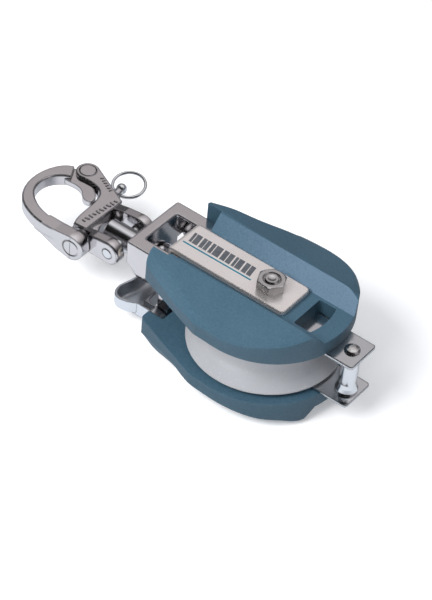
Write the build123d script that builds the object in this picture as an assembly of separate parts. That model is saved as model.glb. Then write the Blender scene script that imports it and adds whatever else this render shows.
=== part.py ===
from build123d import *
import math
import os

# Single sheave block with a swivelling snap shackle and a becket, in millimetres.
# Origin: centre of the sheave, on the axle.  +Z runs along the axle towards the
# nut, -X towards the shackle, +X towards the becket.  The upper and lower cheeks,
# thrust washers and becket plates mirror about Z = 0.

FAR = 150.0                      # carries a cutter past any part
TIGHT, SNUG, EASY, LOOSE = 0.03, 0.04, 0.05, 0.06    # radial clearances

# ---- layers along the axle (distance from Z = 0) ----
HUB_HW = 10.5                    # sheave, half width at the thrust-washer recess
SHEAVE_HW = 11.4                 # sheave, half width over the flanges
PLATE_IN, PLATE_OUT = 11.8, 13.4     # faces of the becket plate
CHEEK_IN = 13.15                 # inner face of the cheek
CHEEK_FLOOR = 20.9               # floor of the strap channel
STRAP_OUT = 23.3                 # outer face of the strap
RAIL_TOP = 29.0                  # outer face of the cheek rails

# ---- sheave, bearing and axle ----
SHEAVE_R = 38.1                  # three-inch sheave
SHEAVE_BORE_R = 12.02
SLEEVE_R = 8.0                   # inner race
ROLLER_R, ROLLER_L = 1.99, 16.0
ROLLER_PITCH_R = 10.0
ROLLER_COUNT = 12
BOLT_R = 4.0                     # M8 axle bolt
HEX_ACROSS_FLATS = 13.0
NUT_H, BOLT_HEAD_H = 5.0, 5.3

# ---- cheeks, straps and head ----
TAIL_R = 41.6                    # rounded tail of the cheeks
HEAD_X, HEAD_HW = -54.3, 26.9    # head end of the cheeks and its half width
KNEE_X, KNEE_Y = -13.7, 41.2     # mild corner in the flank
RAIL_Y, FLOOR_Y = 19.2, 11.9     # top edge and foot of the channel wall
NOTCH_X, NOTCH_HW = -45.5, 20.9  # head notch: the step that the head butts against
STRAP_HW, STRAP_END_X = 11.3, 15.2
LIP_X, LIP_T = -50.6, 2.4        # hooked lip of the strap: inner face, thickness
FRAME_HW = 19.7                  # head frame
FRAME_X0, FRAME_X1 = -71.4, NOTCH_X - 0.1
WALL_T = 5.4                     # end wall
WINDOW_HW = 12.0
LATCH_X, LATCH_Z = -50.0, -17.2  # latch hinge axis, along Y
LATCH_PIN_R = 2.0
POST_R, SHANK_R = 6.2, 5.0       # swivel post outside the head and in its end wall
WASHER_X = FRAME_X0 - 1.3        # where the swivel post steps up to full radius

# ---- shackle ----
TOGGLE_X, TOGGLE_R = -86.4, 2.9  # toggle pin, along Y
PLATE_TOP, PLATE_BOTTOM = 4.0, -3.0      # faces of the shackle plate
SLOT_BOTTOM, SLOT_TOP = -1.1, 2.1        # slot for the gate's tongue
GATE_X, GATE_Y = -130.2, 23.0            # gate hinge
RIVET_R, RIVET_HEAD_R = 3.0, 4.4

# ---- plunger and pull ring ----
PLUNGER_TILT = math.radians(11.0)        # lean from +Y towards -X
PLUNGER_DIR = Vector(-math.sin(PLUNGER_TILT), math.cos(PLUNGER_TILT), 0)
PLUNGER_POINT = Vector(-104.6, -16.0, -2.5)      # a point on the plunger axis
PLUNGER_R, STEM_R = 3.6, 1.5
COLLAR_R, BALL_R, EYE_R = 2.5, 2.8, 1.35
RING_R, WIRE_R = 8.3, 0.85


def plunger_at(y):
    """Distance along the plunger axis, from PLUNGER_POINT, at which it reaches y."""
    return (y - PLUNGER_POINT.Y) / PLUNGER_DIR.Y


SHOULDER = plunger_at(2.0)       # end of the plunger body
BORE_END = plunger_at(12.0)      # end of the wide bore
BALL = plunger_at(29.5)
EYE = BALL - 4.6
EYE_CENTRE = PLUNGER_POINT + PLUNGER_DIR * EYE
RING_DIR = Vector(0.12, 0.98, 0.157).normalized()    # from the eye to the ring's centre
RING_TILT = Vector(0.030, -0.1615, 0.986)
RING_NORMAL = (RING_TILT - RING_DIR * RING_TILT.dot(RING_DIR)).normalized()

# ---- becket ----
BECKET_X, BECKET_END = 48.3, 55.2        # pin, end of the plates
BECKET_HW = 10.1
BECKET_PIN_R = 2.5


# ---- shape helpers ----
def box(x0, x1, y0, y1, z0, z1):
    middle = Pos((x0 + x1) / 2, (y0 + y1) / 2, (z0 + z1) / 2)
    return middle * Box(x1 - x0, y1 - y0, z1 - z0)


def rod(point, direction, radius, start, end):
    """Cylinder about the line through point, from start to end along direction."""
    direction = Vector(direction).normalized()
    base = Plane(origin=Vector(point) + direction * start, z_dir=direction)
    return extrude(base * Circle(radius), amount=end - start)


def rod_x(radius, x0, x1):
    return rod((0, 0, 0), (1, 0, 0), radius, x0, x1)


def rod_y(radius, y0, y1, x, z=0):
    return rod((x, 0, z), (0, 1, 0), radius, y0, y1)


def rod_z(radius, z0, z1, x=0, y=0):
    return rod((x, y, 0), (0, 0, 1), radius, z0, z1)


def tube_z(inner_r, outer_r, z0, z1, x=0):
    return rod_z(outer_r, z0, z1, x) - rod_z(inner_r, z0 - 1, z1 + 1, x)


def drill_y(radius, x, z=0):
    return rod_y(radius, -FAR, FAR, x, z)


def drill_z(radius, x=0, y=0):
    return rod_z(radius, -FAR, FAR, x, y)


def on_plunger(radius, start, end):
    return rod(PLUNGER_POINT, PLUNGER_DIR, radius, start, end)


def flat(points, z):
    """(x, y) points raised to height z."""
    return [(x, y, z) for x, y in points]


def prism_x(points, x0, x1):
    face = make_face(Polyline(*[(x0, y, z) for y, z in points], close=True))
    return extrude(face, amount=x1 - x0, dir=(1, 0, 0))


def prism_y(points, y0, y1):
    face = make_face(Polyline(*[(x, y0, z) for x, z in points], close=True))
    return extrude(face, amount=y1 - y0, dir=(0, 1, 0))


def prism_z(points, z0, z1):
    face = make_face(Polyline(*flat(points, z0), close=True))
    return extrude(face, amount=z1 - z0, dir=(0, 0, 1))


def turned(profile, x=0):
    """Closed (radius, z) profile turned about the vertical through x."""
    face = make_face(Polyline(*[(x + radius, 0, z) for radius, z in profile], close=True))
    return revolve(face, Axis((x, 0, 0), (0, 0, 1)), 360)


def hexagon(z0, z1):
    corner_r = HEX_ACROSS_FLATS / 2 / math.cos(math.pi / 6)
    return extrude(Plane.XY.offset(z0) * RegularPolygon(corner_r, 6), amount=z1 - z0)


def flip_first(half):
    """The other half of an outline, its first coordinate negated."""
    return [(-a, b) for a, b in reversed(half)]


def flip_second(half):
    return [(a, -b) for a, b in reversed(half)]


def span(side, near_edge, far_edge):
    """The two edges taken on one side (+1 or -1), in rising order."""
    return sorted((side * near_edge, side * far_edge))


def flip(solid):
    return mirror(solid, about=Plane.XY)


def solid_of(shape):
    """The largest solid of the shape."""
    return max(shape.solids(), key=lambda solid: solid.volume)


# ---- edge selection and easing ----
def near(edge, x=None, y=None, z=None, tol=0.2):
    centre = edge.center()
    pairs = ((x, centre.X), (y, centre.Y), (z, centre.Z))
    return all(want is None or abs(have - want) < tol for want, have in pairs)


def vertical(edge):
    return edge.geom_type == GeomType.LINE and abs(edge.tangent_at(0.5).Z) > 0.99


def is_circle(edge):
    return edge.geom_type == GeomType.CIRCLE


def ease(solid, pick, size, operation, scales):
    """Fillet or chamfer the picked edges, smaller where the full size won't fit."""
    edges = [edge for edge in solid.edges() if pick(edge)]
    if not edges:
        return solid
    for scale in scales:
        # Guards against a size that the kernel cannot build on these edges.
        try:
            eased = operation(edges, size * scale)
            if eased.is_valid and abs(eased.volume - solid.volume) < 0.2 * solid.volume:
                return eased
        except Exception:
            pass
    return solid


def soften(solid, pick, radius):
    return ease(solid, pick, radius, fillet, (1.0, 0.7, 0.45))


def bevel(solid, pick, length):
    return ease(solid, pick, length, chamfer, (1.0, 0.6, 0.3))


def pin_y(radius, half_length, x, z=0):
    return bevel(rod_y(radius, -half_length, half_length, x, z), is_circle, 0.4)


# ---- sheave and bearing ----
# (radius, z) of the lower half, from the bore out to the rim
SHEAVE_HALF = [
    (SHEAVE_BORE_R, -HUB_HW), (15.4, -HUB_HW),
    (15.4, -SHEAVE_HW + 0.25), (19.0, -SHEAVE_HW + 0.25),
    (20.5, -SHEAVE_HW + 1.6), (31.0, -SHEAVE_HW + 1.6), (32.5, -SHEAVE_HW),
    (SHEAVE_R - 0.9, -SHEAVE_HW), (SHEAVE_R, -SHEAVE_HW + 0.9), (SHEAVE_R, -SHEAVE_HW + 1.5)]
GROOVE_DEPTH = 10.2
GROOVE_EDGE = (33.2, 7.6)        # (radius, z) where the round bottom meets the flare
GROOVE_FLARE = (35.6, 8.9)


def make_sheave():
    """Wheel with a deep round groove, thin flanges and a shallow dished web."""
    lower = [(radius, 0, z) for radius, z in SHEAVE_HALF]
    upper = [(radius, 0, -z) for radius, z in reversed(SHEAVE_HALF)]
    edge_r, edge_z = GROOVE_EDGE
    flare_r, flare_z = GROOVE_FLARE
    edge_low, edge_high = (edge_r, 0, -edge_z), (edge_r, 0, edge_z)
    outline = [
        Polyline(*lower),
        Spline(lower[-1], (flare_r, 0, -flare_z), edge_low),
        ThreePointArc(edge_low, (SHEAVE_R - GROOVE_DEPTH, 0, 0), edge_high),
        Spline(edge_high, (flare_r, 0, flare_z), upper[0]),
        Polyline(*upper),
        Line(upper[-1], lower[0])]
    return revolve(make_face(outline), Axis.Z, 360)


def make_sleeve():
    """Inner race, clamped between the becket plates."""
    sleeve = tube_z(BOLT_R + TIGHT, SLEEVE_R, -PLATE_IN, PLATE_IN)
    return bevel(sleeve, lambda edge: is_circle(edge) and edge.radius > 6, 0.5)


def roller_centres():
    for k in range(ROLLER_COUNT):
        angle = 2 * math.pi * k / ROLLER_COUNT
        yield ROLLER_PITCH_R * math.cos(angle), ROLLER_PITCH_R * math.sin(angle)


def make_cage():
    cage = tube_z(8.9, 11.2, -9.9, 9.9)
    slot_hl = ROLLER_L / 2 + 0.15
    for x, y in roller_centres():
        cage -= rod_z(ROLLER_R + LOOSE, -slot_hl, slot_hl, x, y)
    return solid_of(cage)


def make_rollers():
    rollers = []
    for x, y in roller_centres():
        roller = rod_z(ROLLER_R, -ROLLER_L / 2, ROLLER_L / 2, x, y)
        roller = chamfer(roller.edges().filter_by(GeomType.CIRCLE), 0.25)
        rollers.append(solid_of(roller))
    return Compound(children=rollers)


def make_thrust_washer():
    washer = tube_z(SLEEVE_R + 0.1, 15.0, HUB_HW + 0.05, PLATE_IN)
    return bevel(washer, lambda edge: is_circle(edge) and edge.radius > 14, 0.25)


# ---- cheeks ----
# Stations of the outer surface: x, crown z, crown half width,
# shoulder y, shoulder z, crease y, crease z
ROOF = [
    (-58, RAIL_TOP, 21.3, 22.4, 28.0, 26.0, 22.5),
    (-50, RAIL_TOP, 21.0, 25.2, 27.7, 28.6, 21.3),
    (-43, RAIL_TOP, 20.8, 28.1, 26.9, 31.0, 20.2),
    (-35, RAIL_TOP, 20.5, 30.1, 26.0, 33.7, 19.2),
    (-26, RAIL_TOP, 20.1, 33.3, 24.4, 36.8, 18.7),
    (KNEE_X, RAIL_TOP, 19.6, 38.0, 22.1, 41.2, 19.3),
    (0, RAIL_TOP, RAIL_Y, 38.8, 21.2, 41.6, 20.1),
    (13, RAIL_TOP, RAIL_Y, 37.0, 22.3, 39.5, 21.4),
    (24, RAIL_TOP, RAIL_Y, 31.4, 24.5, 33.8, 23.4),
    (33, 28.2, RAIL_Y, 24.0, 26.2, 26.4, 24.1),
    (40, 25.8, 18.6, 20.4, 25.0, 22.4, 23.9),
    (48, 23.9, 17.0, 18.4, 23.6, 20.0, 23.2)]
ROOF_REACH, ROOF_BASE = 52, -90  # half width and bottom of every section
CROWN_LIFT = 0.6                 # keeps full-height crowns clear of the blank's flat top


def roof_section(x, crown_z, crown_y, shoulder_y, shoulder_z, crease_y, crease_z):
    """Closed section at x: crown, shoulder, crease, then on past the side wall."""
    lift = CROWN_LIFT if crown_z >= RAIL_TOP else 0.0
    lifted_y = crown_y - lift * (shoulder_y - crown_y) / (crown_z - shoulder_z)
    slope = (shoulder_z - crease_z) / (crease_y - shoulder_y)
    reach_z = crease_z - slope * (ROOF_REACH - crease_y)
    half = [(ROOF_REACH, ROOF_BASE), (ROOF_REACH, reach_z), (crease_y, crease_z),
            (shoulder_y, shoulder_z), (lifted_y, crown_z + lift)]
    points = [(x, y, z) for y, z in half + flip_first(half)]
    return Face(Wire(Polyline(*points, close=True).edges()))


def is_crease(edge):
    """Edges that run along the outer faces, clear of the rails and the head end."""
    centre = edge.center()
    outside = abs(centre.Y) > 24 or (centre.X > 30 and abs(centre.Y) > 20.5)
    return (outside and 20 < centre.Z < 28.6 and centre.X > HEAD_X + 0.5
            and abs(edge.tangent_at(0.5).Z) < 0.6)


def make_cheek():
    """Side shell: two tall rails either side of a strap channel."""
    # The flank runs from the knee along the tangent to the tail circle.
    tangent_angle = (math.atan2(KNEE_Y, KNEE_X)
                     - math.acos(TAIL_R / math.hypot(KNEE_X, KNEE_Y)))
    tangent_x = TAIL_R * math.cos(tangent_angle)
    tangent_y = TAIL_R * math.sin(tangent_angle)
    half = [(HEAD_X, -HEAD_HW), (KNEE_X, -KNEE_Y), (tangent_x, -tangent_y)]
    blank = prism_z(half + flip_second(half), CHEEK_IN, RAIL_TOP)
    blank = solid_of(blank + rod_z(TAIL_R, CHEEK_IN, RAIL_TOP))
    for corner_x, radius in ((HEAD_X, 3.0), (KNEE_X, 12.0)):
        blank = soften(
            blank, lambda edge: vertical(edge) and near(edge, x=corner_x, tol=0.5), radius)

    roof = loft([roof_section(*station) for station in ROOF], ruled=False)
    # Guards against a smooth loft that comes out invalid.
    if not roof.is_valid:
        roof = loft([roof_section(*station) for station in ROOF], ruled=True)
    cheek = blank & roof

    # strap channel, open at the tail
    channel = [(-RAIL_Y, FAR), (-RAIL_Y, RAIL_TOP), (-FLOOR_Y, CHEEK_FLOOR)]
    cheek -= prism_x(channel + flip_first(channel), -FAR, FAR)
    # head notch, right through
    cheek -= box(-FAR, NOTCH_X, -NOTCH_HW, NOTCH_HW, 0, FAR)
    cheek = solid_of(cheek)
    cheek = soften(cheek, lambda edge: vertical(edge) and near(edge, x=NOTCH_X, tol=0.3)
                   and abs(edge.center().Y) > 15, 1.2)
    # pocket through the channel floor, behind the end of the strap
    pocket = box(21.2, 40, -10.4, 10.4, 0, 40) & rod_z(32.4, 0, 40)
    cheek -= soften(pocket, vertical, 1.0)
    # seat for the becket plate, and the axle hole
    seat_hw = BECKET_HW + 0.1
    cheek -= box(-10.4, 60, -seat_hw, seat_hw, 0, PLATE_OUT)
    cheek -= rod_z(BECKET_HW + 0.3, 0, PLATE_OUT)
    cheek -= drill_z(BOLT_R + EASY)
    return soften(solid_of(cheek), is_crease, 1.2)


# ---- straps ----
def round_tail(strap):
    return soften(
        strap, lambda edge: vertical(edge) and near(edge, x=STRAP_END_X, tol=0.3), 2.6)


def finish_strap(strap, outer_z, start_x):
    """Drill for the axle, then bevel the outer face's edges beyond start_x."""
    strap -= drill_z(BOLT_R + SNUG)
    return bevel(strap, lambda edge: near(edge, z=outer_z, tol=0.05)
                 and edge.center().X > start_x and abs(edge.center().Y) > 3, 0.35)


def make_upper_strap():
    """Flat bar with a hooked lip that drops behind the head's crossbar."""
    lip_bottom, lip_outer = 15.2, LIP_X - LIP_T
    outline = [(STRAP_END_X, CHEEK_FLOOR), (STRAP_END_X, STRAP_OUT), (lip_outer, STRAP_OUT),
               (lip_outer, lip_bottom), (LIP_X, lip_bottom), (LIP_X, CHEEK_FLOOR)]
    strap = prism_y(outline, -STRAP_HW, STRAP_HW)
    strap = soften(strap, lambda edge: near(edge, x=lip_outer, z=STRAP_OUT, tol=0.3), 2.1)
    return finish_strap(round_tail(strap), STRAP_OUT, LIP_X)


def make_lower_strap():
    """Flat bar ending in a solid eye round the latch hinge pin."""
    outline = [(-53.6, -17.6), (-53.6, -20.6), (-51.4, -STRAP_OUT),
               (STRAP_END_X, -STRAP_OUT), (STRAP_END_X, -CHEEK_FLOOR),
               (-45.9, -CHEEK_FLOOR), (-46.4, -20.4), (-46.4, -17.2)]
    strap = prism_y(outline, -STRAP_HW, STRAP_HW)
    strap += rod_y(3.6, -STRAP_HW, STRAP_HW, LATCH_X, LATCH_Z)
    strap = round_tail(solid_of(strap))
    strap -= drill_y(LATCH_PIN_R + SNUG, LATCH_X, LATCH_Z)
    return finish_strap(strap, -STRAP_OUT, LATCH_X)


# ---- axle bolt and nut ----
def make_axle_bolt():
    top, head_bottom = STRAP_OUT + NUT_H + 0.3, -STRAP_OUT - BOLT_HEAD_H
    bolt = rod_z(BOLT_R, -STRAP_OUT - 1, top)
    bolt = bevel(bolt, lambda edge: near(edge, z=top, tol=0.05), 0.9)
    head = hexagon(head_bottom, -STRAP_OUT)
    cone = turned([(0, head_bottom), (6.4, head_bottom), (8.6, head_bottom + 1.3),
                   (8.6, -STRAP_OUT), (0, -STRAP_OUT)])
    bolt = solid_of(bolt + (head & cone))
    # shallow dimple in the threaded end
    bolt -= Pos(0, 0, top + 5.6) * Sphere(6.0)
    return solid_of(bolt)


def make_axle_nut():
    top = STRAP_OUT + NUT_H
    cone = turned([(0, STRAP_OUT), (6.9, STRAP_OUT), (8.0, STRAP_OUT + 0.65),
                   (8.6, top - 1.3), (6.3, top), (0, top)])
    nut = Rot(0, 0, -6) * hexagon(STRAP_OUT, top)
    nut = (nut & cone) - drill_z(BOLT_R + TIGHT)
    return bevel(solid_of(nut), lambda edge: is_circle(edge)
                 and near(edge, z=top, tol=0.05) and edge.radius < 4.5, 0.5)


# ---- head frame ----
FLANGE_BOTTOM = 14.6
# side wall, (x, z)
FRAME_SIDE = [
    (FRAME_X0, CHEEK_FLOOR), (FRAME_X0, 8.4), (-68.0, 6.4), (-64.7, 3.3), (-60.0, 3.6),
    (-53.4, 7.0), (-47.0, 9.0), (FRAME_X1, 10.0), (FRAME_X1, CHEEK_FLOOR)]
# +Y half of the shield-shaped end wall, (y, z)
SHIELD_HALF = [(FRAME_HW, CHEEK_FLOOR), (FRAME_HW, 9.4), (15.4, 1.65), (10.3, -8.3),
               (6.4, -12.6), (3.2, -14.2)]
# leg down to the latch hinge, (x, z)
LEG = [(-53.2, 16.0), (-53.2, -15.5), (-50.0, -17.2), (-46.8, -15.5), (-46.8, 16.0)]
LEG_IN, LEG_OUT, LEG_EYE_R = 12.0, 15.7, 3.45
SKIRT_IN, SKIRT_TOP = 18.2, 12.2     # inner face and top of the thin skirt


def make_head_frame():
    """Cast frame that slots into the notch of both cheeks."""
    wall_in = FRAME_X0 + WALL_T
    flange = box(FRAME_X0, FRAME_X1, -FRAME_HW, FRAME_HW, FLANGE_BOTTOM, CHEEK_FLOOR)
    side_walls = prism_y(FRAME_SIDE, -FRAME_HW, FRAME_HW)
    side_walls -= box(-FAR, FAR, -WINDOW_HW, WINDOW_HW, -FAR, FLANGE_BOTTOM)
    side_walls -= box(wall_in, FAR, -SKIRT_IN, SKIRT_IN, -FAR, SKIRT_TOP)
    end_wall = prism_x(SHIELD_HALF + flip_first(SHIELD_HALF), FRAME_X0, wall_in)
    for side in (1, -1):
        end_wall -= box(FRAME_X0 + 2.0, FAR, *span(side, 14.4, SKIRT_IN), -FAR, SKIRT_TOP)
    head = flange + side_walls + end_wall
    # window, and its slot for the strap's lip
    head -= box(wall_in, -51.0, -WINDOW_HW, WINDOW_HW, 0, FAR)
    head -= box(LIP_X - LIP_T - 0.4, LIP_X + 0.2, -WINDOW_HW, WINDOW_HW, 0, FAR)
    for side in (1, -1):
        leg_span = span(side, LEG_IN, LEG_OUT)
        head += prism_y(LEG, *leg_span)
        head += rod_y(LEG_EYE_R, *leg_span, LATCH_X, LATCH_Z)
    head -= drill_y(LATCH_PIN_R + SNUG, LATCH_X, LATCH_Z)
    shank_hole = rod_x(SHANK_R + EASY, -90, -60)
    head = solid_of(head - shank_hole)
    # recess in the wall's inner face, then a boss round the post inside the window
    recess_hw = WINDOW_HW - 0.4
    head -= box(wall_in - 0.8, wall_in + 0.1, -recess_hw, recess_hw, 3.0, 17.0)
    head += rod_x(8.4, wall_in - 1.0, wall_in + 0.8) - shank_hole
    head = solid_of(head)
    head = soften(head, lambda edge: near(edge, x=FRAME_X0, tol=0.05)
                  and abs(abs(edge.center().Y) - FRAME_HW) < 0.05, 1.6)
    head = soften(head, lambda edge: vertical(edge)
                  and abs(abs(edge.center().Y) - WINDOW_HW) < 0.05
                  and edge.center().Z > 10 and edge.center().X < -52, 1.4)
    return soften(head, lambda edge: near(edge, z=CHEEK_FLOOR, tol=0.02), 0.7)


# ---- latch lever ----
# +Y halves of the dish outline and its hollow, (x, y), from the arms to the tip
LEVER_HALF = [
    (-53.0, 20.6), (-61.8, 20.6), (-65.3, 22.6), (-68.6, 23.7), (-71.7, 23.8), (-74.1, 22.6),
    (-75.7, 20.2), (-76.3, 16.6), (-75.5, 12.6), (-74.5, 8.4), (-74.0, 4.0)]
HOLLOW_HALF = [
    (-54.4, 19.4), (-62.2, 19.4), (-65.8, 21.3), (-68.9, 22.3), (-71.4, 22.4), (-73.2, 21.5),
    (-74.4, 19.6), (-75.0, 16.4), (-74.2, 12.8), (-73.2, 8.6), (-72.7, 4.1)]
LEVER_BOTTOM, LEVER_TOP = -21.0, -13.1
HOLLOW_FLOOR = -19.6
ARM_IN, ARM_OUT = 16.0, 20.6
ARM = [(-56.5, LEVER_TOP), (-56.5, -20.8), (LATCH_X, -20.8), (LATCH_X, -13.6),
       (-53.4, LEVER_TOP)]       # (x, z)
TROUGH_HW = 1.35


def lobe(half, tip_x, z0, z1):
    """Two-lobed prism: a spline round the tip, straight along the arms and across."""
    points = half + [(tip_x, 0)] + flip_second(half)
    straight = [points[-2], points[-1], points[0], points[1]]
    face = make_face([Spline(*flat(points[1:-1], z0)), Polyline(*flat(straight, z0))])
    return extrude(face, amount=z1 - z0, dir=(0, 0, 1))


def make_latch_lever():
    dish = lobe(LEVER_HALF, -73.9, LEVER_BOTTOM, LEVER_TOP)
    hollow = lobe(HOLLOW_HALF, -72.6, HOLLOW_FLOOR, -10.0)
    hollow = soften(hollow, lambda edge: near(edge, z=HOLLOW_FLOOR, tol=0.05), 2.4)
    # the middle, between the arms, stays open as far as the dish
    middle_x = -59.2
    middle = box(middle_x, -40.0, -15.9, 15.9, -30, 0)
    middle = soften(
        middle, lambda edge: vertical(edge) and near(edge, x=middle_x, tol=0.1), 3.0)
    hollow -= box(-60.5, -40.0, -17.1, 17.1, -30, 0)
    lever = dish - hollow - middle
    for side in (1, -1):
        arm_span = span(side, ARM_IN, ARM_OUT)
        lever += prism_y(ARM, *arm_span)
        lever += rod_y(3.6, *arm_span, LATCH_X, LATCH_Z)
        # shallow trough along the top of each arm, open to the dish
        arm_y = side * (ARM_IN + ARM_OUT) / 2
        lever -= box(-61.5, -53.6, arm_y - TROUGH_HW, arm_y + TROUGH_HW, -16.2, 0)
    lever = solid_of(lever - drill_y(LATCH_PIN_R + EASY, LATCH_X, LATCH_Z))
    lever = soften(lever, lambda edge: near(edge, z=LEVER_BOTTOM, tol=0.05)
                   and edge.geom_type == GeomType.BSPLINE, 2.4)
    return soften(lever, lambda edge: near(edge, z=LEVER_TOP, tol=0.02)
                  and edge.center().X < -60.5, 0.35)


# ---- swivel post ----
def make_swivel_post():
    """Post with a domed head inside the frame, cross-drilled for the toggle pin."""
    boss_x = FRAME_X0 + WALL_T + 0.8
    dome_r, dome_h = 8.7, 3.8
    dome = []
    for degrees in range(10, 91, 10):
        angle = math.radians(degrees)
        dome.append((boss_x + 0.9 + dome_h * math.cos(angle), dome_r * math.sin(angle)))
    profile = [(boss_x + 0.9 + dome_h, 0), *dome, (boss_x + 0.05, dome_r),
               (boss_x + 0.05, SHANK_R), (WASHER_X, SHANK_R), (WASHER_X, POST_R),
               (-96.0, POST_R), (-97.0, 5.2), (-97.6, 3.4), (-97.7, 0)]
    face = make_face(Polyline(*[(x, 0, z) for x, z in profile], close=True))
    post = revolve(face, Axis.X, 360)
    return solid_of(post - drill_y(TOGGLE_R + EASY, TOGGLE_X))


def make_swivel_washer():
    washer = rod_x(8.2, WASHER_X + 0.05, FRAME_X0 - 0.05) - rod_x(SHANK_R + LOOSE, -90, -60)
    return bevel(solid_of(washer), lambda edge: is_circle(edge) and edge.radius > 8, 0.3)


# ---- shackle body ----
PLATE_CORNER = (-102.5, 16.7)
# plate outline, (x, y): the straight sides, then the curved edge back to the start
PLATE_SIDES = [(-110.1, -11.9), (-102.7, -11.2), PLATE_CORNER, (-127.7, 28.6),
               (-133.0, 25.0), (-130.6, 17.0)]
PLATE_CURVE = [(-130.6, 17.0), (-125.6, 17.3), (-120.2, 16.9), (-115.6, 14.6),
               (-113.5, 10.4), (-112.4, 3.0), (-110.1, -11.9)]
# base of the fork, (x, z)
FORK_WEB = [(-111.0, PLATE_BOTTOM), (-111.0, 1.0), (-103.2, PLATE_TOP - 0.6), (-99.4, -0.4),
            (-97.0, -1.4), (-97.0, -5.2), (-103.0, -7.6), (-108.0, -6.4)]
EAR_R = 6.6                      # round end of the fork's ears
EAR = [(-104.5, -6.2), (-104.5, 3.4), (-96.0, 5.4), (TOGGLE_X, EAR_R), (TOGGLE_X, -EAR_R),
       (-96.0, -6.6)]            # (x, z)
CROTCH_X, CROTCH_R = -91.5, 9.4
EAR_OUT = 14.8
BARREL_R, BARREL_Y0, BARREL_Y1 = 5.4, -11.9, 19.2
# slot for the gate's tongue, (x, y)
TONGUE_SLOT = [
    (GATE_X - 12, GATE_Y - 16), (-116.6, -2.0), (-113.2, 8.6), (-116.2, 15.4),
    (-121.0, 18.4), (GATE_X + 3.0, GATE_Y + 6.0), (GATE_X - 12, GATE_Y + 6.0)]
COUNTERSINK = 0.9                # depth


def make_fork():
    """Heavy base tapering to two ears round the toggle pin."""
    ears = Part()
    for y0, y1 in ((-EAR_OUT, -CROTCH_R), (CROTCH_R, EAR_OUT)):
        ear = solid_of(prism_y(EAR, y0, y1) + rod_y(EAR_R, y0, y1, TOGGLE_X))
        outer_y = y0 if y0 < 0 else y1
        ears += bevel(ear, lambda edge: near(edge, y=outer_y, tol=0.02)
                      and edge.center().X > -104, 0.7)
    fork = prism_y(FORK_WEB, -11.6, 15.0) + ears
    # round crotch that the post works in
    fork -= rod_z(CROTCH_R, -20, 20, CROTCH_X)
    fork -= box(CROTCH_X, -60, -CROTCH_R, CROTCH_R, -20, 20)
    return fork - box(-110, -98.5, -20, BARREL_Y0, -20, 20)


def make_shackle_body():
    plate_face = make_face([Polyline(*flat(PLATE_SIDES, PLATE_BOTTOM)),
                            Spline(*flat(PLATE_CURVE, PLATE_BOTTOM))])
    plate = extrude(plate_face, amount=PLATE_TOP - PLATE_BOTTOM, dir=(0, 0, 1))
    plate = solid_of(plate + rod_z(6.1, PLATE_BOTTOM, PLATE_TOP, GATE_X, GATE_Y))
    corner_x, corner_y = PLATE_CORNER
    plate = soften(plate, lambda edge: vertical(edge)
                   and near(edge, x=corner_x, y=corner_y, tol=0.4), 1.5)
    plate = bevel(plate, lambda edge: near(edge, z=PLATE_TOP, tol=0.02), 0.5)
    fork = make_fork()
    # barrel for the plunger, trimmed square at its -Y end and below the plate's top
    barrel = on_plunger(BARREL_R, plunger_at(BARREL_Y0) - 3, plunger_at(BARREL_Y1))
    barrel -= box(-140, -60, -40, BARREL_Y0, -30, 30)
    barrel = barrel & box(-140, -60, -40, 40, -30, PLATE_TOP - 0.3)
    body = solid_of(plate + fork + barrel)
    # bore for the plunger, smaller at the far end for the stem
    body -= on_plunger(PLUNGER_R + EASY, -20, BORE_END)
    body -= on_plunger(STEM_R + EASY, -20, 60)
    body -= rod_z(7.4, SLOT_BOTTOM, SLOT_TOP, GATE_X, GATE_Y)
    body -= prism_z(TONGUE_SLOT, SLOT_BOTTOM, SLOT_TOP)
    # rivet hole and the countersinks for its heads
    body -= drill_z(RIVET_R + EASY, GATE_X, GATE_Y)
    for z0, z1 in ((PLATE_TOP - COUNTERSINK, 10), (-10, PLATE_BOTTOM + COUNTERSINK)):
        body -= rod_z(RIVET_HEAD_R + EASY, z0, z1, GATE_X, GATE_Y)
    return solid_of(body - drill_y(TOGGLE_R + EASY, TOGGLE_X))


# ---- gate ----
# outer and inner edges of the bow, (x, y); together they run right round it
BOW_OUTER = [
    (-137.5, 21.2), (-141.3, 18.9), (-145.4, 12.8), (-147.6, 3.0), (-144.9, -9.6),
    (-140.3, -15.6), (-133.6, -19.6), (-126.0, -21.9), (-117.0, -22.4), (-110.0, -21.9),
    (-104.0, -21.6)]
BOW_INNER = [
    (-104.0, -15.3), (-113.0, -15.5), (-121.0, -15.5), (-128.5, -14.1), (-135.0, -11.0),
    (-139.8, -6.6), (-142.1, 0.0), (-141.2, 6.0), (-138.0, 10.6), (-133.4, 13.6)]
TIP_R, TIP_Y = 7.2, -15.2        # thick tip and its inner face
TIP_X = PLUNGER_POINT.X - math.tan(PLUNGER_TILT) * (-18.4 - PLUNGER_POINT.Y)
TIP_Z = PLUNGER_POINT.Z
# blend from the tip down to the bow, (x, z)
TIP_BLEND = [
    (TIP_X, TIP_Z + TIP_R), (TIP_X, TIP_Z - TIP_R), (-113.0, -7.2),
    (-122.0, PLATE_BOTTOM - 0.6), (-127.0, PLATE_BOTTOM), (-127.0, 0.0),
    (-122.0, PLATE_TOP), (-114.0, PLATE_TOP)]
# plan that trims the tip, (x, y)
TIP_PLAN = [
    (-127.5, -21.7), (-122, -22.3), (-112, -22.2), (-104, -21.7), (-100.0, -21.2),
    (-97.4, -20.2), (-96.0, -18.8), (-96.0, TIP_Y), (-124, TIP_Y)]
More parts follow.
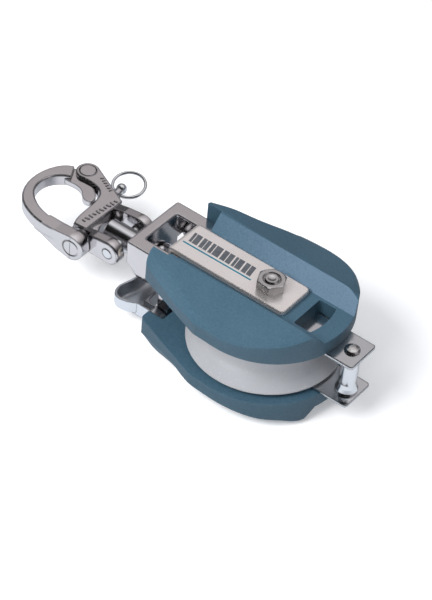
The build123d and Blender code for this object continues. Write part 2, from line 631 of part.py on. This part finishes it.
# tongue with a heel that reaches back into the loop, (x, y)
TONGUE = [
    (-137.6, 20.9), (-140.2, 16.6), (-136.4, 12.2), (-130.2, 12.2), (-124.2, 10.8),
    (-118.6, 6.6), (-115.4, 7.4), (-115.6, 11.4), (-119.4, 15.2), (-124.4, 19.2),
    (-127.0, 22.6), (-129.4, 26.0), (-133.6, 25.6)]


def make_gate():
    """Bow from the hinge round to a thick tip with a socket for the plunger."""
    outer, inner = flat(BOW_OUTER, PLATE_BOTTOM), flat(BOW_INNER, PLATE_BOTTOM)
    bow_face = make_face([Spline(*outer), Line(outer[-1], inner[0]),
                          Spline(*inner), Line(inner[-1], outer[0])])
    gate = extrude(bow_face, amount=PLATE_TOP - PLATE_BOTTOM, dir=(0, 0, 1))
    gate = bevel(gate, lambda edge: edge.geom_type != GeomType.LINE
                 and (near(edge, z=PLATE_TOP, tol=0.05)
                      or near(edge, z=PLATE_BOTTOM, tol=0.05)), 0.7)
    tip = rod_y(TIP_R, -21.6, TIP_Y, TIP_X, TIP_Z)
    tip = solid_of(tip + prism_y(TIP_BLEND, -22.3, TIP_Y))
    tip = solid_of(tip & prism_z(TIP_PLAN, -12, 8))
    gate = solid_of(solid_of(gate) + tip)

    tongue_z0, tongue_z1 = SLOT_BOTTOM + 0.1, SLOT_TOP - 0.1
    tongue_face = make_face(Spline(*flat(TONGUE, tongue_z0), periodic=True))
    tongue = rod_z(5.6, tongue_z0, tongue_z1, GATE_X, GATE_Y)
    tongue += extrude(tongue_face, amount=tongue_z1 - tongue_z0, dir=(0, 0, 1))
    gate = solid_of(gate + solid_of(tongue))
    gate -= drill_z(RIVET_R + EASY, GATE_X, GATE_Y)
    # clear the hinge boss of the body as the gate swings
    gate -= (rod_z(6.5, tongue_z1, 20, GATE_X, GATE_Y)
             + rod_z(6.5, -20, tongue_z0, GATE_X, GATE_Y))
    # socket for the plunger nose, and the ring groove on the outside of the tip
    gate -= on_plunger(PLUNGER_R + 0.35, plunger_at(-17.6) - 0.6, 30)
    groove_x = TIP_X + 0.4
    gate -= (rod_y(4.7, -22.5, -21.05, groove_x, TIP_Z)
             - rod_y(4.2, -22.6, -20.0, groove_x, TIP_Z))
    return solid_of(gate)


def make_gate_rivet():
    top, bottom = PLATE_TOP + 0.15, PLATE_BOTTOM - 0.15
    rivet = rod_z(RIVET_R, PLATE_BOTTOM + 0.2, PLATE_TOP - 0.2, GATE_X, GATE_Y)
    for z0, z1 in ((top - 1.0, top), (bottom, bottom + 1.0)):
        rivet += rod_z(RIVET_HEAD_R, z0, z1, GATE_X, GATE_Y)
    return bevel(solid_of(rivet), lambda edge: is_circle(edge)
                 and (near(edge, z=top, tol=0.03) or near(edge, z=bottom, tol=0.03)), 0.35)


# ---- plunger, pull ring and spring ----
def make_plunger():
    """Body, stem, cross-drilled collar for the ring, and a ball on the end."""
    plunger = on_plunger(PLUNGER_R, plunger_at(-14.9) + 0.5, SHOULDER)
    plunger = soften(
        plunger, lambda edge: is_circle(edge) and edge.center().Y < -10, 0.9)
    plunger += on_plunger(STEM_R, SHOULDER - 1, BALL)
    plunger += bevel(on_plunger(COLLAR_R, EYE - 2.0, EYE + 2.0), is_circle, 0.4)
    ball_centre = PLUNGER_POINT + PLUNGER_DIR * BALL
    plunger += Pos(ball_centre.X, ball_centre.Y, ball_centre.Z) * Sphere(BALL_R)
    # the eye follows the wire's direction where the ring passes through
    plunger -= rod(EYE_CENTRE, RING_NORMAL.cross(RING_DIR), EYE_R, -6, 6)
    return solid_of(plunger)


def make_pull_ring():
    centre = EYE_CENTRE + RING_DIR * RING_R
    return Plane(origin=centre, z_dir=RING_NORMAL) * Torus(RING_R, WIRE_R)


def make_plunger_spring():
    """Coil between the plunger's shoulder and the end of its bore."""
    turns, end_gap, coil_r, coil_wire_r = 5, 0.45, 2.6, 0.38
    start = SHOULDER + end_gap
    length = BORE_END - end_gap - start
    base = Plane(origin=PLUNGER_POINT + PLUNGER_DIR * start, z_dir=PLUNGER_DIR)
    path = base * Helix(pitch=length / turns, height=length, radius=coil_r)
    section = Plane(origin=path @ 0, z_dir=path % 0) * Circle(coil_wire_r)
    return solid_of(sweep(section, path=path))


# ---- becket ----
# (radius, z) of the pin: domed head on top, clip groove near the bottom
BECKET_PIN = [
    (0, PLATE_OUT + 2.1), (1.6, PLATE_OUT + 1.95), (3.0, PLATE_OUT + 1.4),
    (3.8, PLATE_OUT + 0.7), (3.9, PLATE_OUT), (BECKET_PIN_R, PLATE_OUT),
    (BECKET_PIN_R, -14.0), (BECKET_PIN_R - 0.5, -14.0), (BECKET_PIN_R - 0.5, -14.85),
    (BECKET_PIN_R, -14.85), (BECKET_PIN_R, -15.7), (BECKET_PIN_R - 0.4, -16.1), (0, -16.1)]
SPOOL_HL = PLATE_IN - 0.1
# (radius, z) of the spool's lower half
SPOOL_HALF = [(BECKET_PIN_R + EASY, -SPOOL_HL), (5.6, -SPOOL_HL), (5.6, -SPOOL_HL + 1.2),
              (4.9, -SPOOL_HL + 3.0), (4.4, -SPOOL_HL + 5.2)]


def make_becket_plate():
    plate = box(0, BECKET_END, -BECKET_HW, BECKET_HW, PLATE_IN, PLATE_OUT)
    plate = solid_of(plate + rod_z(BECKET_HW, PLATE_IN, PLATE_OUT))
    plate = soften(
        plate, lambda edge: vertical(edge) and near(edge, x=BECKET_END, tol=0.2), 1.8)
    plate -= drill_z(BOLT_R + SNUG)
    plate -= drill_z(BECKET_PIN_R + SNUG, BECKET_X)
    return bevel(plate, lambda edge: near(edge, z=PLATE_OUT, tol=0.03)
                 and edge.center().X > 30, 0.3)


def make_becket_clip():
    """Open ring in the pin's groove."""
    clip = tube_z(BECKET_PIN_R - 0.47, 4.2, -14.8, -14.05, BECKET_X)
    return solid_of(clip - box(BECKET_X, BECKET_X + 8, -1.6, 1.6, -20, 0))


# ---- export ----
thrust_washer = make_thrust_washer()
cheek = make_cheek()
becket_plate = make_becket_plate()

parts = {
    "sheave": make_sheave(),
    "bearing_sleeve": make_sleeve(),
    "bearing_cage": make_cage(),
    "bearing_rollers": make_rollers(),
    "upper_thrust_washer": thrust_washer,
    "lower_thrust_washer": flip(thrust_washer),
    "upper_cheek": cheek,
    "lower_cheek": flip(cheek),
    "upper_strap": make_upper_strap(),
    "lower_strap": make_lower_strap(),
    "axle_bolt": make_axle_bolt(),
    "axle_nut": make_axle_nut(),
    "head_frame": make_head_frame(),
    "latch_lever": make_latch_lever(),
    "latch_pin": pin_y(LATCH_PIN_R, 20.55, LATCH_X, LATCH_Z),
    "swivel_post": make_swivel_post(),
    "swivel_washer": make_swivel_washer(),
    "shackle_body": make_shackle_body(),
    "gate": make_gate(),
    "gate_rivet": make_gate_rivet(),
    "toggle_pin": pin_y(TOGGLE_R, 15.0, TOGGLE_X),
    "plunger": make_plunger(),
    "pull_ring": make_pull_ring(),
    "plunger_spring": make_plunger_spring(),
    "upper_becket_plate": becket_plate,
    "lower_becket_plate": flip(becket_plate),
    "becket_pin": turned(BECKET_PIN, BECKET_X),
    "becket_pin_clip": make_becket_clip(),
    "becket_pin_washer": tube_z(BECKET_PIN_R + EASY, 4.6, -13.98, -PLATE_OUT, BECKET_X),
    "becket_spool": turned(SPOOL_HALF + flip_second(SPOOL_HALF), BECKET_X),
}

os.makedirs("parts", exist_ok=True)
for name, shape in parts.items():
    export_step(shape, f"parts/{name}.step")
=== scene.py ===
# A swivel pulley block with a snap shackle and a becket. It lies on its side: cheeks and straps
# are stacked along Z, and the shackle points towards -X. The camera looks from -Y, +X and above.
import math
import bpy
import bmesh
from mathutils import Matrix, Vector


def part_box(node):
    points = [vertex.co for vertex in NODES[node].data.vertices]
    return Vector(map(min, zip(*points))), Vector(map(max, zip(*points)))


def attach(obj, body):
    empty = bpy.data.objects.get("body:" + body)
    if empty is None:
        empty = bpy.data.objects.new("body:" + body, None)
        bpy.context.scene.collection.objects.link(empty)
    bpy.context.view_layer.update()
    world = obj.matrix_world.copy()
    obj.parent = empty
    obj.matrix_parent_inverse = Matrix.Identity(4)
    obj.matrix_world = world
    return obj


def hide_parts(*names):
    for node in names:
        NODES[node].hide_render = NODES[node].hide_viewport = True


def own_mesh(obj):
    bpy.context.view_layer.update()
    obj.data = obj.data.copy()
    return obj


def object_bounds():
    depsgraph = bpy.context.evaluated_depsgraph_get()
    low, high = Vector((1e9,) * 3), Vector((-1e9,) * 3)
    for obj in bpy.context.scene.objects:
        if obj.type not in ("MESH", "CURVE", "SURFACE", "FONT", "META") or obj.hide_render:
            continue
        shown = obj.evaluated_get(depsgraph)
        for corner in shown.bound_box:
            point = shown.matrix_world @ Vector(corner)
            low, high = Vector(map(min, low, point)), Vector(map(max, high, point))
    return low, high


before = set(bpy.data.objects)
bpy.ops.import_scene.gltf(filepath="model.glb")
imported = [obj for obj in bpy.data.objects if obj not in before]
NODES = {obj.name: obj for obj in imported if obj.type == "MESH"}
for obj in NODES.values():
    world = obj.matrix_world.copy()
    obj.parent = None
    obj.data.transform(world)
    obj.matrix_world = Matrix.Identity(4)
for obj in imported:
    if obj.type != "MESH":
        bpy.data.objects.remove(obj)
CAD_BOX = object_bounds()
SCENE = bpy.context.scene
MM = 0.001

FLOOR_GAP = 0.0004          # floor below the lowest CAD point
FLOOR_HALF_WIDTH = 3.0
SHACKLE_TOP = 4.0           # mm
STRAP_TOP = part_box("upper_strap")[1].z / MM


# ---------------------------------------------------------------------------
# node helpers
# ---------------------------------------------------------------------------
class Shader:
    """Node tree of a material or world. Inputs take a socket, a number or an RGB colour."""

    def __init__(self, owner, output="ShaderNodeOutputMaterial", kind="ShaderNodeBsdfPrincipled"):
        self.owner = owner
        owner.use_nodes = True
        self.tree = owner.node_tree
        self.tree.nodes.clear()
        out = self.node(output)
        self.surface = self.node(kind)
        self.tree.links.new(self.surface.outputs[0], out.inputs[0])

    def feed(self, target, values):
        for key, value in values.items():
            socket = target.inputs[key]
            if isinstance(value, bpy.types.NodeSocket):
                self.tree.links.new(value, socket)
            elif socket.type == "RGBA":
                socket.default_value = (*value, 1.0)
            else:
                socket.default_value = value

    def node(self, kind, values=None, **settings):
        made = self.tree.nodes.new(kind)
        for key, value in settings.items():
            setattr(made, key, value)
        self.feed(made, values or {})
        return made

    def set(self, values):
        self.feed(self.surface, values)

    def coords(self, scale=(1, 1, 1)):
        place = self.node("ShaderNodeTexCoord").outputs["Object"]
        return self.node("ShaderNodeMapping", {"Scale": scale, "Vector": place}).outputs["Vector"]

    def split(self, vector):
        return self.node("ShaderNodeSeparateXYZ", {0: vector}).outputs

    def noise(self, vector, scale, detail=3.0, rough=0.5):
        return self.node("ShaderNodeTexNoise", {
            "Scale": scale, "Detail": detail, "Roughness": rough, "Vector": vector}).outputs["Fac"]

    def ramp(self, value, stops):
        """Colour ramp; stops are (position, RGB)."""
        made = self.node("ShaderNodeValToRGB", {"Fac": value})
        elements = made.color_ramp.elements
        while len(elements) < len(stops):
            elements.new(0.5)
        for element, (position, color) in zip(elements, stops):
            element.position = position
            element.color = (*color, 1.0)
        return made.outputs["Color"]

    def remap(self, value, source, to):
        """Map the range source=(start, end) onto to=(start, end), clamped."""
        return self.node("ShaderNodeMapRange", {
            "From Min": source[0], "From Max": source[1],
            "To Min": to[0], "To Max": to[1], "Value": value}).outputs["Result"]

    def mix(self, factor, first, second, blend="MIX"):
        return self.node("ShaderNodeMix", {0: factor, 6: first, 7: second},
                         data_type="RGBA", blend_type=blend).outputs[2]

    def calc(self, operation, first, second):
        return self.node("ShaderNodeMath", {0: first, 1: second}, operation=operation).outputs[0]

    def bump(self, height, strength, distance, normal=None):
        values = {"Strength": strength, "Distance": distance, "Height": height}
        if normal is not None:
            values["Normal"] = normal
        return self.node("ShaderNodeBump", values).outputs["Normal"]

    def rounded(self, radius):
        return self.node("ShaderNodeBevel", {"Radius": radius}, samples=4).outputs["Normal"]

    def edge_wear_and_shade(self, radius):
        """0 on flats, towards 1 on outside edges."""
        soft = self.rounded(radius)
        true = self.node("ShaderNodeNewGeometry").outputs["Normal"]
        dot = self.node("ShaderNodeVectorMath", {0: soft, 1: true}, operation="DOT_PRODUCT")
        return self.calc("SUBTRACT", 1.0, dot.outputs["Value"])


# ---------------------------------------------------------------------------
# materials
# ---------------------------------------------------------------------------
def steel(name, tint, rough, edge, grain=(30, 30, 30), scratch=0.25, edge_shade=0.6, reach=0.0005,
          metal=1.0):
    """Polished stainless with mottled roughness, fine grain and painted shade: dark lines painted
    along its edges, standing in for dark reflections and contact shade.

    edge: shaded edge radius; grain: stretch of the fine grain per axis; scratch: grain depth;
    edge_shade: darkness of the painted edge shade; reach: radius that finds those edges.
    """
    s = Shader(bpy.data.materials.new(name))
    mottle = s.noise(s.coords(), scale=55.0, detail=4.0, rough=0.55)
    color = s.ramp(mottle, [(0.30, tuple(c * 0.93 for c in tint)), (0.70, tint)])
    # painted shade: dark lines along the edges, standing in for dark reflections and contact
    # shade, mixed into the base colour
    edge_shade_mask = s.remap(s.edge_wear_and_shade(reach), source=(0.012, 0.045), to=(0.0, edge_shade))
    fine = s.noise(s.coords(scale=grain), scale=26.0, detail=3.0, rough=0.6)
    broad_rough = s.remap(mottle, source=(0.3, 0.75), to=(rough * 0.75, rough * 1.35))
    fine_rough = s.remap(fine, source=(0.35, 0.8), to=(0.0, rough * 0.5))
    normal = s.bump(fine, strength=scratch, distance=0.00002, normal=s.rounded(edge))
    s.set({
        "Base Color": s.mix(edge_shade_mask, color, (0.035, 0.04, 0.048)),
        "Metallic": metal,
        "Roughness": s.calc("ADD", broad_rough, fine_rough),
        "Normal": s.bump(mottle, strength=0.10, distance=0.00006, normal=normal),
    })
    return s.owner


def nylon(name, base, dark, light, channel):
    """Glass-filled nylon: spark-eroded grain, slight cloudiness, paler rubbed edges.

    channel: painted light, the paler colour painted on the sharply sloped face of the strap's
    channel where the lamps fall on it.
    """
    s = Shader(bpy.data.materials.new(name))
    place = s.coords()
    cloud = s.noise(place, scale=38.0, detail=4.0, rough=0.6)
    grain = s.noise(place, scale=2300.0, detail=2.0, rough=0.6)
    speck = s.noise(place, scale=1100.0, detail=3.0, rough=0.7)
    color = s.ramp(cloud, [(0.30, dark), (0.70, base)])
    color = s.mix(s.remap(speck, source=(0.40, 0.72), to=(0.0, 0.22)), color, light)
    wear = s.remap(s.edge_wear_and_shade(0.0007), source=(0.02, 0.35), to=(0.0, 0.30))
    color = s.mix(wear, color, light)

    # painted light: the channel's steep face, looking up and to -Y, is painted paler where the
    # lamps fall on it, fading towards -X and mottled by the speck noise as a coarser mould texture
    facing = s.split(s.node("ShaderNodeNewGeometry").outputs["Normal"])
    at = s.split(place)
    channel_light_mask = s.remap(facing["Y"], source=(-0.50, -0.68), to=(0.0, 1.0))
    for factor in (
        s.remap(facing["Z"], source=(0.35, 0.55), to=(0.0, 1.0)),
        s.remap(at["Y"], source=(0.008, 0.010), to=(0.0, 1.0)),
        s.remap(at["X"], source=(-0.050, 0.008), to=(0.2, 1.0)),
        s.remap(speck, source=(0.36, 0.62), to=(0.72, 1.18)),
    ):
        channel_light_mask = s.calc("MULTIPLY", channel_light_mask, factor)
    color = s.mix(channel_light_mask, color, channel)

    # painted shade: upright rims are painted darker, standing in for the shade on faces that don't
    # look up at the lamps
    level = s.calc("ABSOLUTE", facing["Z"], 0.0)
    upright = s.remap(level, source=(0.30, 0.10), to=(0.0, 0.30))
    normal = s.bump(grain, strength=0.35, distance=0.00006, normal=s.rounded(0.0005))
    s.set({
        "Base Color": s.mix(upright, color, tuple(c * 0.35 for c in dark)),
        "Roughness": s.remap(grain, source=(0.3, 0.7), to=(0.46, 0.60)),
        "Specular IOR Level": 0.42,
        "Normal": s.bump(cloud, strength=0.10, distance=0.0004, normal=normal),
    })
    return s.owner


def acetal(name, base, shade, rough=0.22):
    """Smooth, slightly translucent plastic."""
    s = Shader(bpy.data.materials.new(name))
    place = s.coords()
    cloud = s.noise(place, scale=30.0, detail=3.0, rough=0.5)
    fine = s.noise(place, scale=900.0, detail=2.0, rough=0.5)
    s.set({
        "Base Color": s.ramp(cloud, [(0.25, shade), (0.75, base)]),
        "Roughness": s.remap(fine, source=(0.3, 0.7), to=(rough * 0.8, rough * 1.3)),
        "Subsurface Weight": 0.08,
        "Subsurface Radius": (0.002, 0.002, 0.002),
        "Coat Weight": 0.15,
        "Coat Roughness": 0.12,
        "Normal": s.bump(fine, strength=0.08, distance=0.00004, normal=s.rounded(0.0004)),
    })
    return s.owner


def ink(name, base, dark, rough):
    """Blotchy printed ink with a slight metallic sheen."""
    s = Shader(bpy.data.materials.new(name))
    place = s.coords()
    blot = s.noise(place, scale=420.0, detail=3.0, rough=0.6)
    s.set({
        "Base Color": s.ramp(blot, [(0.35, dark), (0.62, base)]),
        "Roughness": s.remap(blot, source=(0.3, 0.7), to=(rough * 0.8, rough * 1.3)),
        "Metallic": 0.25,
        "Normal": s.bump(s.noise(place, scale=1500.0), strength=0.15, distance=0.00003),
    })
    return s.owner


STRAP = steel("steel_strap", tint=(1.0, 0.945, 0.925), rough=0.27, grain=(3, 60, 60),
              edge=0.0012, edge_shade=0.9, reach=0.0009, metal=0.82)
CAST = steel("steel_cast", tint=(0.74, 0.715, 0.725), rough=0.11, edge=0.0011,
             scratch=0.15, edge_shade=0.94, reach=0.00075)
TURNED = steel("steel_turned", tint=(0.82, 0.83, 0.85), rough=0.16, grain=(60, 6, 6),
               edge=0.0003, scratch=0.2)
BECKET = steel("steel_becket", tint=(0.74, 0.755, 0.775), rough=0.13, grain=(3, 50, 50),
               edge=0.0011, scratch=0.2, edge_shade=0.94, reach=0.0008)
NUT = steel("steel_nut", tint=(0.70, 0.69, 0.69), rough=0.20, edge=0.0005, scratch=0.3)
LATCH = steel("steel_latch", tint=(0.88, 0.91, 0.95), rough=0.30, grain=(8, 8, 40),
              edge=0.0007, scratch=0.35, edge_shade=0.9, reach=0.0008)
WIRE = steel("steel_wire", tint=(0.78, 0.79, 0.80), rough=0.10, edge=0.0001)
SPRING = steel("steel_spring", tint=(0.55, 0.55, 0.56), rough=0.2, edge=0.0001)
# the channel colour is painted light: the paler colour given to the channel's steep face
NYLON = nylon("nylon_blue_grey", base=(0.043, 0.098, 0.144), dark=(0.037, 0.086, 0.127),
              light=(0.135, 0.215, 0.275), channel=(0.107, 0.172, 0.242))
WHITE = acetal("acetal_white", base=(0.40, 0.41, 0.435), shade=(0.365, 0.375, 0.395))
NATURAL = acetal("acetal_natural", base=(0.66, 0.63, 0.56), shade=(0.58, 0.55, 0.48), rough=0.3)

# parts of each material; every other part is cast steel
MATERIAL_PARTS = (
    (WHITE, ("sheave", "bearing_cage")),
    (NATURAL, ("bearing_rollers", "upper_thrust_washer", "lower_thrust_washer", "swivel_washer")),
    (NYLON, ("upper_cheek", "lower_cheek")),
    (STRAP, ("upper_strap", "lower_strap")),
    (NUT, ("axle_bolt", "axle_nut", "becket_pin")),
    (LATCH, ("latch_lever",)),
    (TURNED, ("bearing_sleeve", "latch_pin", "swivel_post", "toggle_pin", "plunger",
              "becket_pin_washer", "becket_spool")),
    (SPRING, ("plunger_spring", "becket_pin_clip")),
    (WIRE, ("pull_ring",)),
    (BECKET, ("upper_becket_plate", "lower_becket_plate")),
)
part_material = {part: material for material, parts in MATERIAL_PARTS for part in parts}
for name, part in NODES.items():
    material = part_material.get(name, CAST)
    if not part.material_slots:
        part.data.materials.append(material)
    for slot in part.material_slots:
        slot.material = material

# moulded and forged edges are rounded in the mesh too: bevel width in mm
EDGE_ROUNDING = {
    "upper_cheek": 0.9, "lower_cheek": 0.9, "upper_strap": 0.45, "lower_strap": 0.45,
    "head_frame": 0.35, "shackle_body": 0.3, "gate": 0.3, "latch_lever": 0.3,
    "upper_becket_plate": 0.3, "lower_becket_plate": 0.3, "axle_nut": 0.25,
}
for name, width in EDGE_ROUNDING.items():
    weld = NODES[name].modifiers.new("weld", "WELD")
    weld.merge_threshold = 0.000002
    bevel = NODES[name].modifiers.new("round", "BEVEL")
    bevel.width = width * MM
    bevel.segments = 3
    bevel.limit_method = "ANGLE"
    bevel.angle_limit = math.radians(22)
    bevel.use_clamp_overlap = True
    bevel.harden_normals = True


# ---------------------------------------------------------------------------
# return spring: a smooth-shaded copy of the plunger spring that rides with the shackle
# ---------------------------------------------------------------------------
def return_spring():
    spring = bpy.data.objects.new("return_spring", NODES["plunger_spring"].data.copy())
    SCENE.collection.objects.link(spring)
    for face in spring.data.polygons:
        face.use_smooth = True
    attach(spring, "shackle")
    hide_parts("plunger_spring")
    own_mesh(spring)


return_spring()


# ---------------------------------------------------------------------------
# surface pieces, in mm: a printed panel on the strap, raised cast marks on the shackle
# ---------------------------------------------------------------------------
def link_mesh(name, bm):
    mesh = bpy.data.meshes.new(name)
    bm.to_mesh(mesh)
    bm.free()
    made = bpy.data.objects.new(name, mesh)
    SCENE.collection.objects.link(made)
    return made


def pads(name, outlines, bottom, top, inset, material, rides):
    """Low raised pads, each a flat polygon with a sloped rim."""
    bm = bmesh.new()
    for outline in outlines:
        count = len(outline)
        center_x = sum(x for x, y in outline) / count
        center_y = sum(y for x, y in outline) / count
        low_ring = [bm.verts.new((x * MM, y * MM, bottom * MM)) for x, y in outline]
        top_ring = []
        for x, y in outline:
            dx, dy = x - center_x, y - center_y
            shrink = max(0.0, 1.0 - inset / max(0.05, math.hypot(dx, dy)))
            top_ring.append(bm.verts.new((
                (center_x + dx * shrink) * MM, (center_y + dy * shrink) * MM, top * MM)))
        bm.faces.new(top_ring)
        bm.faces.new(list(reversed(low_ring)))
        for i in range(count):
            j = (i + 1) % count
            bm.faces.new((low_ring[i], low_ring[j], top_ring[j], top_ring[i]))
    bmesh.ops.recalc_face_normals(bm, faces=bm.faces[:])
    made = link_mesh(name, bm)
    made.data.materials.append(material)
    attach(made, rides)


def label_blocks():
    """A row of leaning blocks, each cut in two by a narrow slit."""
    low_y, high_y, lean, gap = -1.6, 5.3, 1.2, 0.9
    slits = ((0.30, 0.38), (0.46, 0.54))    # fractions of the width, even and odd blocks
    x = -48.2
    blocks = []
    for k, width in enumerate((4.9, 4.6, 6.2, 6.0, 5.0, 5.6)):
        slit_start, slit_end = slits[k % 2]
        for start, end in ((0.0, slit_start), (slit_end, 1.0)):
            x0, x1 = x + width * start, x + width * end
            blocks.append([(x0, low_y), (x1, low_y), (x1 - lean, high_y), (x0 - lean, high_y)])
        x += width + gap
    return blocks


def clipped_bar(center_x, center_y, length, width, angle):
    """Eight-sided bar with clipped corners."""
    hx, hy, clip = length / 2, width / 2, width * 0.28
    outline = [(-hx + clip, -hy), (hx - clip, -hy), (hx, -hy + clip), (hx, hy - clip),
               (hx - clip, hy), (-hx + clip, hy), (-hx, hy - clip), (-hx, -hy + clip)]
    cos, sin = math.cos(angle), math.sin(angle)
    return [(center_x + x * cos - y * sin, center_y + x * sin + y * cos) for x, y in outline]


def bar_row(count, start, span, width, length, third_length, angles):
    """Bars along a line; every third has its own length, even and odd ones their own angle."""
    bars = []
    for k in range(count):
        t = k / (count - 1)
        bars.append(clipped_bar(start[0] + span[0] * t, start[1] + span[1] * t,
                                length if k % 3 else third_length, width,
                                math.radians(angles[k % 2])))
    return bars


TEAL_INK = ink("ink_teal", base=(0.012, 0.20, 0.29), dark=(0.009, 0.16, 0.24), rough=0.35)
GREY_INK = ink("ink_grey", base=(0.115, 0.125, 0.14), dark=(0.085, 0.092, 0.105), rough=0.38)
STRIPE = [(-50.0, -3.9), (-9.6, -3.6), (-9.6, -2.75), (-50.0, -3.05)]    # x, y

pads("label_stripe", [STRIPE], bottom=STRAP_TOP, top=STRAP_TOP + 0.05, inset=0.02,
     material=TEAL_INK, rides="body")
pads("label_blocks", label_blocks(), bottom=STRAP_TOP, top=STRAP_TOP + 0.04, inset=0.02,
     material=GREY_INK, rides="body")
marks = bar_row(10, start=(-107.4, -7.4), span=(2.6, 21.4), width=1.0,
                length=3.0, third_length=2.3, angles=(-6, 18))
marks += bar_row(6, start=(-121.0, 22.9), span=(9.0, -4.3), width=0.8,
                 length=2.1, third_length=2.1, angles=(46, 70))
pads("shackle_marks", marks, bottom=SHACKLE_TOP - 0.02, top=SHACKLE_TOP + 0.30, inset=0.22,
     material=CAST, rides="shackle")


# ---------------------------------------------------------------------------
# floor, surround, lights and camera
# ---------------------------------------------------------------------------
def floor_material():
    """Pale floor that reflections see as a greyer pool, darkening outwards."""
    s = Shader(bpy.data.materials.new("floor_pale"))
    place = s.coords()
    pale = s.ramp(s.noise(place, scale=9.0, detail=4.0, rough=0.5), [
        (0.3, (0.90, 0.90, 0.905)), (0.7, (0.93, 0.93, 0.935))])
    ray = s.node("ShaderNodeLightPath").outputs
    away = s.node("ShaderNodeVectorMath", {0: place}, operation="LENGTH").outputs["Value"]
    reflected = s.ramp(s.remap(away, source=(0.10, 0.75), to=(0.0, 1.0)), [
        (0.0, (0.66, 0.69, 0.73)), (0.45, (0.60, 0.64, 0.69)), (1.0, (0.30, 0.33, 0.37))])
    s.set({
        "Base Color": s.mix(ray["Is Glossy Ray"], pale, reflected),
        "Roughness": 0.9,
        "Specular IOR Level": 0.1,
        "Emission Color": (0.98, 0.985, 1.0),
        "Emission Strength": s.calc("MULTIPLY", ray["Is Camera Ray"], 0.22),
    })
    return s.owner


def floor():
    bm = bmesh.new()
    bmesh.ops.create_grid(bm, x_segments=2, y_segments=2, size=FLOOR_HALF_WIDTH)
    made = link_mesh("floor", bm)
    made.location = (0, 0, CAD_BOX[0].z - FLOOR_GAP)
    made.data.materials.append(floor_material())


def surround():
    """Even grey light; reflections see bands of grey from the horizon up to a white top."""
    world = bpy.data.worlds.new("studio")
    SCENE.world = world
    s = Shader(world, output="ShaderNodeOutputWorld", kind="ShaderNodeBackground")
    way = s.split(s.node("ShaderNodeTexCoord").outputs["Generated"])
    bands = s.ramp(s.remap(way["Z"], source=(0.0, 1.0), to=(0.0, 1.0)), [
        (0.00, (0.50, 0.50, 0.52)), (0.10, (0.20, 0.20, 0.21)),
        (0.24, (0.075, 0.077, 0.083)), (0.46, (0.095, 0.095, 0.10)),
        (0.55, (0.40, 0.38, 0.39)), (0.72, (0.56, 0.535, 0.545)),
        (0.88, (0.85, 0.84, 0.86)), (1.00, (1.0, 1.0, 1.0))])
    # a black flag on the -Y side puts dark lines along the near edges of the steel
    flag = s.calc("MAXIMUM", s.remap(way["Y"], source=(-0.22, 0.12), to=(0.02, 1.0)),
                  s.remap(way["Z"], source=(0.93, 0.985), to=(0.0, 1.0)))
    card = s.mix(1.0, bands, flag, blend="MULTIPLY")
    glossy = s.node("ShaderNodeLightPath").outputs["Is Glossy Ray"]
    s.set({"Color": s.mix(glossy, (0.29, 0.30, 0.32), card), "Strength": 1.0})


def area_light(name, place, target, size, power, color):
    """Rectangular light that reflections don't see."""
    light = bpy.data.lights.new(name, "AREA")
    light.shape = "RECTANGLE"
    light.size, light.size_y = size
    light.energy = power
    light.color = color
    made = bpy.data.objects.new(name, light)
    made.location = place
    made.rotation_mode = "QUATERNION"
    made.rotation_quaternion = (Vector(target) - Vector(place)).to_track_quat("-Z", "Y")
    SCENE.collection.objects.link(made)
    made.visible_glossy = False


def camera(azimuth, elevation, roll, shift_right, shift_up, distance):
    """Angles in degrees, azimuth from -Y towards +X; lengths in mm in the camera's own axes."""
    a, e, r = (math.radians(angle) for angle in (azimuth, elevation, roll))
    back = Vector((math.sin(a) * math.cos(e), -math.cos(a) * math.cos(e), math.sin(e)))
    level = Vector((math.cos(a), math.sin(a), 0.0))
    upright = level.cross(-back)
    right = level * math.cos(r) + upright * math.sin(r)
    up = upright * math.cos(r) - level * math.sin(r)
    lens = bpy.data.cameras.new("camera")
    lens.sensor_fit = "AUTO"
    lens.sensor_width = 36.0
    lens.lens = 144.0
    lens.clip_start = 0.05
    lens.clip_end = 20.0
    made = bpy.data.objects.new("camera", lens)
    made.matrix_world = Matrix((right, up, back)).transposed().to_4x4()
    made.location = (right * shift_right + up * shift_up + back * distance) * MM
    SCENE.collection.objects.link(made)
    SCENE.camera = made


floor()
surround()
area_light("key", place=(-0.30, -0.80, 0.88), target=(-0.03, 0, 0), size=(0.8, 0.6),
           power=17.2, color=(1.0, 0.99, 0.98))
area_light("fill", place=(0.9, -0.4, 0.8), target=(-0.02, 0, 0), size=(0.6, 0.6),
           power=3.2, color=(0.96, 0.98, 1.0))
area_light("top", place=(-0.2, 0.1, 1.2), target=(-0.03, 0, 0), size=(1.2, 1.0),
           power=3.0, color=(1.0, 1.0, 1.0))
camera(azimuth=33.745, elevation=43.425, roll=5.993,
       shift_right=-24.02, shift_up=10.36, distance=1138.88)
SCENE.view_settings.view_transform = "Standard"
SCENE.view_settings.look = "None"
